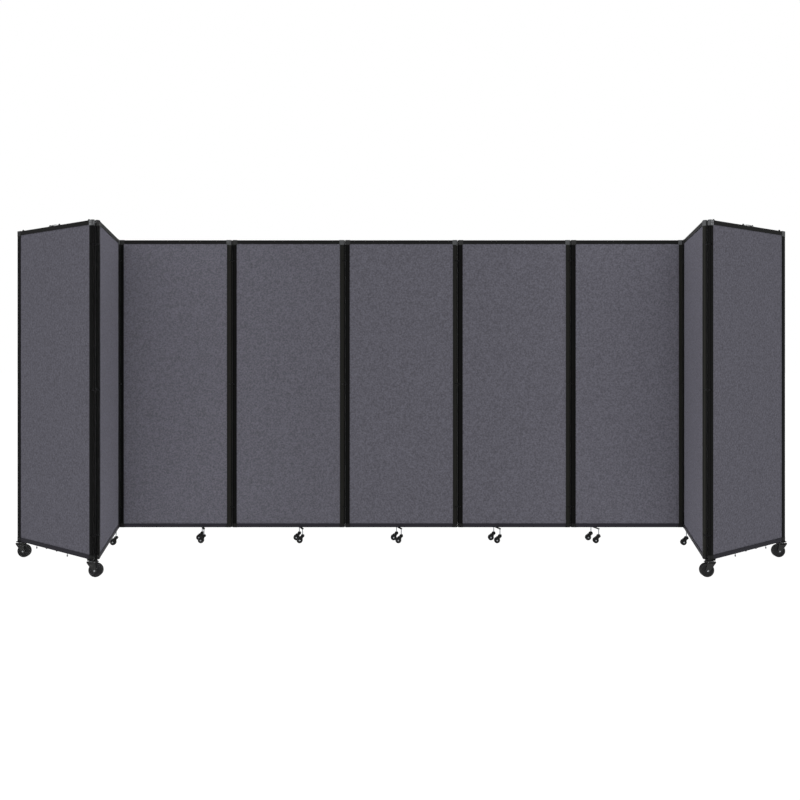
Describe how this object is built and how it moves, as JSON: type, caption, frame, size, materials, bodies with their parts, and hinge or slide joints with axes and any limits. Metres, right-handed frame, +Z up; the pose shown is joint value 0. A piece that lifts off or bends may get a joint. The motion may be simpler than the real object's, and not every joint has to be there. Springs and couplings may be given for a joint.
{
  "type": "accordion folding partition",
  "caption": "Free-standing room divider of equal fabric panels in black frames, joined by double-acting hinges and rolling on swivel casters.",
  "frame": {"origin": "on the floor, in the middle of the wall's footprint", "axes": "+X along the straight run, to the right seen from the front; +Y to the back, so the run faces -Y; +Z up"},
  "size_m": [5.3718, 0.9141, 2.2807],
  "materials": {
    "frame_aluminium": "black powder-coated extrusion",
    "panel_fabric": "slate grey heathered felt weave",
    "hinge_aluminium": "black coated hinge strip with steel rods",
    "caster_fork": "moulded black nylon with plated axle",
    "wheel_rubber": "black rubber tread on a dark hub",
    "pedal_plastic": "moulded dark grey nylon"
  },
  "bodies": {
    "panel_1": {"frame_1": "frame_aluminium", "fabric_1": "panel_fabric"},
    "panel_2": {"frame_2": "frame_aluminium", "fabric_2": "panel_fabric"},
    "panel_3": {"frame_3": "frame_aluminium", "fabric_3": "panel_fabric"},
    "panel_4": {"frame_4": "frame_aluminium", "fabric_4": "panel_fabric"},
    "panel_5": {"frame_5": "frame_aluminium", "fabric_5": "panel_fabric"},
    "panel_6": {"frame_6": "frame_aluminium", "fabric_6": "panel_fabric"},
    "panel_7": {"frame_7": "frame_aluminium", "fabric_7": "panel_fabric"},
    "panel_8": {"frame_8": "frame_aluminium", "fabric_8": "panel_fabric"},
    "panel_9": {"frame_9": "frame_aluminium", "fabric_9": "panel_fabric"},
    "hinge_4_5": {"hinge_4_5": "hinge_aluminium"},
    "hinge_3_4": {"hinge_3_4": "hinge_aluminium"},
    "hinge_2_3": {"hinge_2_3": "hinge_aluminium"},
    "hinge_1_2": {"hinge_1_2": "hinge_aluminium"},
    "hinge_5_6": {"hinge_5_6": "hinge_aluminium"},
    "hinge_6_7": {"hinge_6_7": "hinge_aluminium"},
    "hinge_7_8": {"hinge_7_8": "hinge_aluminium"},
    "hinge_8_9": {"hinge_8_9": "hinge_aluminium"},
    "end_fork_1_near": {"end_fork_1_near": "caster_fork"},
    "end_wheel_1_near": {"end_wheel_1_near": "wheel_rubber"},
    "brake_pedal_1": {"brake_pedal_1": "pedal_plastic"},
    "end_fork_1_far": {"end_fork_1_far": "caster_fork"},
    "end_wheel_1_far": {"end_wheel_1_far": "wheel_rubber"},
    "end_fork_9_near": {"end_fork_9_near": "caster_fork"},
    "end_wheel_9_near": {"end_wheel_9_near": "wheel_rubber"},
    "brake_pedal_9": {"brake_pedal_9": "pedal_plastic"},
    "end_fork_9_far": {"end_fork_9_far": "caster_fork"},
    "end_wheel_9_far": {"end_wheel_9_far": "wheel_rubber"},
    "foot_fork_3_front": {"foot_fork_3_front": "caster_fork"},
    "foot_wheel_3_front": {"foot_wheel_3_front": "wheel_rubber"},
    "foot_fork_3_rear": {"foot_fork_3_rear": "caster_fork"},
    "foot_wheel_3_rear": {"foot_wheel_3_rear": "wheel_rubber"},
    "foot_fork_4_front": {"foot_fork_4_front": "caster_fork"},
    "foot_wheel_4_front": {"foot_wheel_4_front": "wheel_rubber"},
    "foot_fork_4_rear": {"foot_fork_4_rear": "caster_fork"},
    "foot_wheel_4_rear": {"foot_wheel_4_rear": "wheel_rubber"},
    "foot_fork_5_front": {"foot_fork_5_front": "caster_fork"},
    "foot_wheel_5_front": {"foot_wheel_5_front": "wheel_rubber"},
    "foot_fork_5_rear": {"foot_fork_5_rear": "caster_fork"},
    "foot_wheel_5_rear": {"foot_wheel_5_rear": "wheel_rubber"},
    "foot_fork_6_front": {"foot_fork_6_front": "caster_fork"},
    "foot_wheel_6_front": {"foot_wheel_6_front": "wheel_rubber"},
    "foot_fork_6_rear": {"foot_fork_6_rear": "caster_fork"},
    "foot_wheel_6_rear": {"foot_wheel_6_rear": "wheel_rubber"},
    "foot_fork_7_front": {"foot_fork_7_front": "caster_fork"},
    "foot_wheel_7_front": {"foot_wheel_7_front": "wheel_rubber"},
    "foot_fork_7_rear": {"foot_fork_7_rear": "caster_fork"},
    "foot_wheel_7_rear": {"foot_wheel_7_rear": "wheel_rubber"},
    "foot_fork_2_single": {"foot_fork_2_single": "caster_fork"},
    "foot_wheel_2_single": {"foot_wheel_2_single": "wheel_rubber"},
    "foot_fork_8_single": {"foot_fork_8_single": "caster_fork"},
    "foot_wheel_8_single": {"foot_wheel_8_single": "wheel_rubber"}
  },
  "joints": [
    {"name": "fold_4_5_inner", "type": "hinge", "parent": "panel_5", "child": "hinge_4_5", "pos_m": [-0.411, 0.40124, 1.19], "axis": [0, 0, 1], "range_deg": [-82.5, 72.5]},
    {"name": "fold_4_5_outer", "type": "hinge", "parent": "hinge_4_5", "child": "panel_4", "pos_m": [-0.439, 0.40124, 1.19], "axis": [0, 0, 1], "range_deg": [-82.5, 72.5]},
    {"name": "fold_3_4_inner", "type": "hinge", "parent": "panel_4", "child": "hinge_3_4", "pos_m": [-1.261, 0.40124, 1.19], "axis": [0, 0, -1], "range_deg": [-61, 88]},
    {"name": "fold_3_4_outer", "type": "hinge", "parent": "hinge_3_4", "child": "panel_3", "pos_m": [-1.289, 0.40124, 1.19], "axis": [0, 0, -1], "range_deg": [-61, 88]},
    {"name": "fold_2_3_inner", "type": "hinge", "parent": "panel_3", "child": "hinge_2_3", "pos_m": [-2.111, 0.40124, 1.19], "axis": [0, 0, 1], "range_deg": [-104.22, 35.27]},
    {"name": "fold_2_3_outer", "type": "hinge", "parent": "hinge_2_3", "child": "panel_2", "pos_m": [-2.12834, 0.37926, 1.19], "axis": [0, 0, 1], "range_deg": [-104.22, 35.27]},
    {"name": "fold_1_2_inner", "type": "hinge", "parent": "panel_2", "child": "hinge_1_2", "pos_m": [-1.93715, -0.42019, 1.19], "axis": [0, 0, -1], "range_deg": [-140.43, 17.07]},
    {"name": "fold_1_2_outer", "type": "hinge", "parent": "hinge_1_2", "child": "panel_1", "pos_m": [-1.95994, -0.43646, 1.19], "axis": [0, 0, -1], "range_deg": [-140.43, 17.07]},
    {"name": "fold_5_6_inner", "type": "hinge", "parent": "panel_5", "child": "hinge_5_6", "pos_m": [0.411, 0.40124, 1.19], "axis": [0, 0, 1], "range_deg": [-72.5, 88]},
    {"name": "fold_5_6_outer", "type": "hinge", "parent": "hinge_5_6", "child": "panel_6", "pos_m": [0.439, 0.40124, 1.19], "axis": [0, 0, 1], "range_deg": [-72.5, 88]},
    {"name": "fold_6_7_inner", "type": "hinge", "parent": "panel_6", "child": "hinge_6_7", "pos_m": [1.261, 0.40124, 1.19], "axis": [0, 0, -1], "range_deg": [-88, 61]},
    {"name": "fold_6_7_outer", "type": "hinge", "parent": "hinge_6_7", "child": "panel_7", "pos_m": [1.289, 0.40124, 1.19], "axis": [0, 0, -1], "range_deg": [-88, 61]},
    {"name": "fold_7_8_inner", "type": "hinge", "parent": "panel_7", "child": "hinge_7_8", "pos_m": [2.111, 0.40124, 1.19], "axis": [0, 0, 1], "range_deg": [-35.27, 104.22]},
    {"name": "fold_7_8_outer", "type": "hinge", "parent": "hinge_7_8", "child": "panel_8", "pos_m": [2.12834, 0.37926, 1.19], "axis": [0, 0, 1], "range_deg": [-35.27, 104.22]},
    {"name": "fold_8_9_inner", "type": "hinge", "parent": "panel_8", "child": "hinge_8_9", "pos_m": [1.93715, -0.42019, 1.19], "axis": [0, 0, -1], "range_deg": [-17.07, 140.43]},
    {"name": "fold_8_9_outer", "type": "hinge", "parent": "hinge_8_9", "child": "panel_9", "pos_m": [1.95994, -0.43646, 1.19], "axis": [0, 0, -1], "range_deg": [-17.07, 140.43]},
    {"name": "end_swivel_1_near", "type": "hinge", "parent": "panel_1", "child": "end_fork_1_near", "pos_m": [-1.97176, -0.42896, 0.1], "axis": [0, 0, 1], "continuous": true},
    {"name": "end_spin_1_near", "type": "hinge", "parent": "end_fork_1_near", "child": "end_wheel_1_near", "pos_m": [-1.94376, -0.42896, 0.044], "axis": [0, 1, 0], "continuous": true},
    {"name": "brake_1", "type": "hinge", "parent": "end_fork_1_near", "child": "brake_pedal_1", "pos_m": [-1.94576, -0.42896, 0.0984], "axis": [0, 1, 0], "range_deg": [0, 8], "stiffness_Nm_per_rad": 0.5},
    {"name": "end_swivel_1_far", "type": "hinge", "parent": "panel_1", "child": "end_fork_1_far", "pos_m": [-2.65777, 0.0064, 0.1], "axis": [0, 0, 1], "continuous": true},
    {"name": "end_spin_1_far", "type": "hinge", "parent": "end_fork_1_far", "child": "end_wheel_1_far", "pos_m": [-2.62977, 0.0064, 0.044], "axis": [0, 1, 0], "continuous": true},
    {"name": "end_swivel_9_near", "type": "hinge", "parent": "panel_9", "child": "end_fork_9_near", "pos_m": [1.97176, -0.42896, 0.1], "axis": [0, 0, 1], "continuous": true},
    {"name": "end_spin_9_near", "type": "hinge", "parent": "end_fork_9_near", "child": "end_wheel_9_near", "pos_m": [1.94376, -0.42896, 0.044], "axis": [0, 1, 0], "continuous": true},
    {"name": "brake_9", "type": "hinge", "parent": "end_fork_9_near", "child": "brake_pedal_9", "pos_m": [1.94576, -0.42896, 0.0984], "axis": [0, -1, 0], "range_deg": [0, 8], "stiffness_Nm_per_rad": 0.5},
    {"name": "end_swivel_9_far", "type": "hinge", "parent": "panel_9", "child": "end_fork_9_far", "pos_m": [2.65777, 0.0064, 0.1], "axis": [0, 0, 1], "continuous": true},
    {"name": "end_spin_9_far", "type": "hinge", "parent": "end_fork_9_far", "child": "end_wheel_9_far", "pos_m": [2.62977, 0.0064, 0.044], "axis": [0, 1, 0], "continuous": true},
    {"name": "foot_swivel_3_front", "type": "hinge", "parent": "panel_3", "child": "foot_fork_3_front", "pos_m": [-1.476, 0.36024, 0.06], "axis": [0, 0, 1], "continuous": true},
    {"name": "foot_spin_3_front", "type": "hinge", "parent": "foot_fork_3_front", "child": "foot_wheel_3_front", "pos_m": [-1.498, 0.36024, 0.0225], "axis": [0, 1, 0], "continuous": true},
    {"name": "foot_swivel_3_rear", "type": "hinge", "parent": "panel_3", "child": "foot_fork_3_rear", "pos_m": [-1.512, 0.44224, 0.06], "axis": [0, 0, 1], "continuous": true},
    {"name": "foot_spin_3_rear", "type": "hinge", "parent": "foot_fork_3_rear", "child": "foot_wheel_3_rear", "pos_m": [-1.534, 0.44224, 0.0225], "axis": [0, 1, 0], "continuous": true},
    {"name": "foot_swivel_4_front", "type": "hinge", "parent": "panel_4", "child": "foot_fork_4_front", "pos_m": [-0.738, 0.36024, 0.06], "axis": [0, 0, 1], "continuous": true},
    {"name": "foot_spin_4_front", "type": "hinge", "parent": "foot_fork_4_front", "child": "foot_wheel_4_front", "pos_m": [-0.76, 0.36024, 0.0225], "axis": [0, 1, 0], "continuous": true},
    {"name": "foot_swivel_4_rear", "type": "hinge", "parent": "panel_4", "child": "foot_fork_4_rear", "pos_m": [-0.774, 0.44224, 0.06], "axis": [0, 0, 1], "continuous": true},
    {"name": "foot_spin_4_rear", "type": "hinge", "parent": "foot_fork_4_rear", "child": "foot_wheel_4_rear", "pos_m": [-0.796, 0.44224, 0.0225], "axis": [0, 1, 0], "continuous": true},
    {"name": "foot_swivel_5_front", "type": "hinge", "parent": "panel_5", "child": "foot_fork_5_front", "pos_m": [0, 0.36024, 0.06], "axis": [0, 0, 1], "continuous": true},
    {"name": "foot_spin_5_front", "type": "hinge", "parent": "foot_fork_5_front", "child": "foot_wheel_5_front", "pos_m": [-0.022, 0.36024, 0.0225], "axis": [0, 1, 0], "continuous": true},
    {"name": "foot_swivel_5_rear", "type": "hinge", "parent": "panel_5", "child": "foot_fork_5_rear", "pos_m": [-0.036, 0.44224, 0.06], "axis": [0, 0, 1], "continuous": true},
    {"name": "foot_spin_5_rear", "type": "hinge", "parent": "foot_fork_5_rear", "child": "foot_wheel_5_rear", "pos_m": [-0.058, 0.44224, 0.0225], "axis": [0, 1, 0], "continuous": true},
    {"name": "foot_swivel_6_front", "type": "hinge", "parent": "panel_6", "child": "foot_fork_6_front", "pos_m": [0.738, 0.36024, 0.06], "axis": [0, 0, 1], "continuous": true},
    {"name": "foot_spin_6_front", "type": "hinge", "parent": "foot_fork_6_front", "child": "foot_wheel_6_front", "pos_m": [0.716, 0.36024, 0.0225], "axis": [0, 1, 0], "continuous": true},
    {"name": "foot_swivel_6_rear", "type": "hinge", "parent": "panel_6", "child": "foot_fork_6_rear", "pos_m": [0.702, 0.44224, 0.06], "axis": [0, 0, 1], "continuous": true},
    {"name": "foot_spin_6_rear", "type": "hinge", "parent": "foot_fork_6_rear", "child": "foot_wheel_6_rear", "pos_m": [0.68, 0.44224, 0.0225], "axis": [0, 1, 0], "continuous": true},
    {"name": "foot_swivel_7_front", "type": "hinge", "parent": "panel_7", "child": "foot_fork_7_front", "pos_m": [1.476, 0.36024, 0.06], "axis": [0, 0, 1], "continuous": true},
    {"name": "foot_spin_7_front", "type": "hinge", "parent": "foot_fork_7_front", "child": "foot_wheel_7_front", "pos_m": [1.454, 0.36024, 0.0225], "axis": [0, 1, 0], "continuous": true},
    {"name": "foot_swivel_7_rear", "type": "hinge", "parent": "panel_7", "child": "foot_fork_7_rear", "pos_m": [1.44, 0.44224, 0.06], "axis": [0, 0, 1], "continuous": true},
    {"name": "foot_spin_7_rear", "type": "hinge", "parent": "foot_fork_7_rear", "child": "foot_wheel_7_rear", "pos_m": [1.418, 0.44224, 0.0225], "axis": [0, 1, 0], "continuous": true},
    {"name": "foot_swivel_2_single", "type": "hinge", "parent": "panel_2", "child": "foot_fork_2_single", "pos_m": [-2.1109, 0.30632, 0.06], "axis": [0, 0, 1], "continuous": true},
    {"name": "foot_spin_2_single", "type": "hinge", "parent": "foot_fork_2_single", "child": "foot_wheel_2_single", "pos_m": [-2.1329, 0.30632, 0.0225], "axis": [0, 1, 0], "continuous": true},
    {"name": "foot_swivel_8_single", "type": "hinge", "parent": "panel_8", "child": "foot_fork_8_single", "pos_m": [2.1109, 0.30632, 0.06], "axis": [0, 0, 1], "continuous": true},
    {"name": "foot_spin_8_single", "type": "hinge", "parent": "foot_fork_8_single", "child": "foot_wheel_8_single", "pos_m": [2.0889, 0.30632, 0.0225], "axis": [0, 1, 0], "continuous": true}
  ]
}
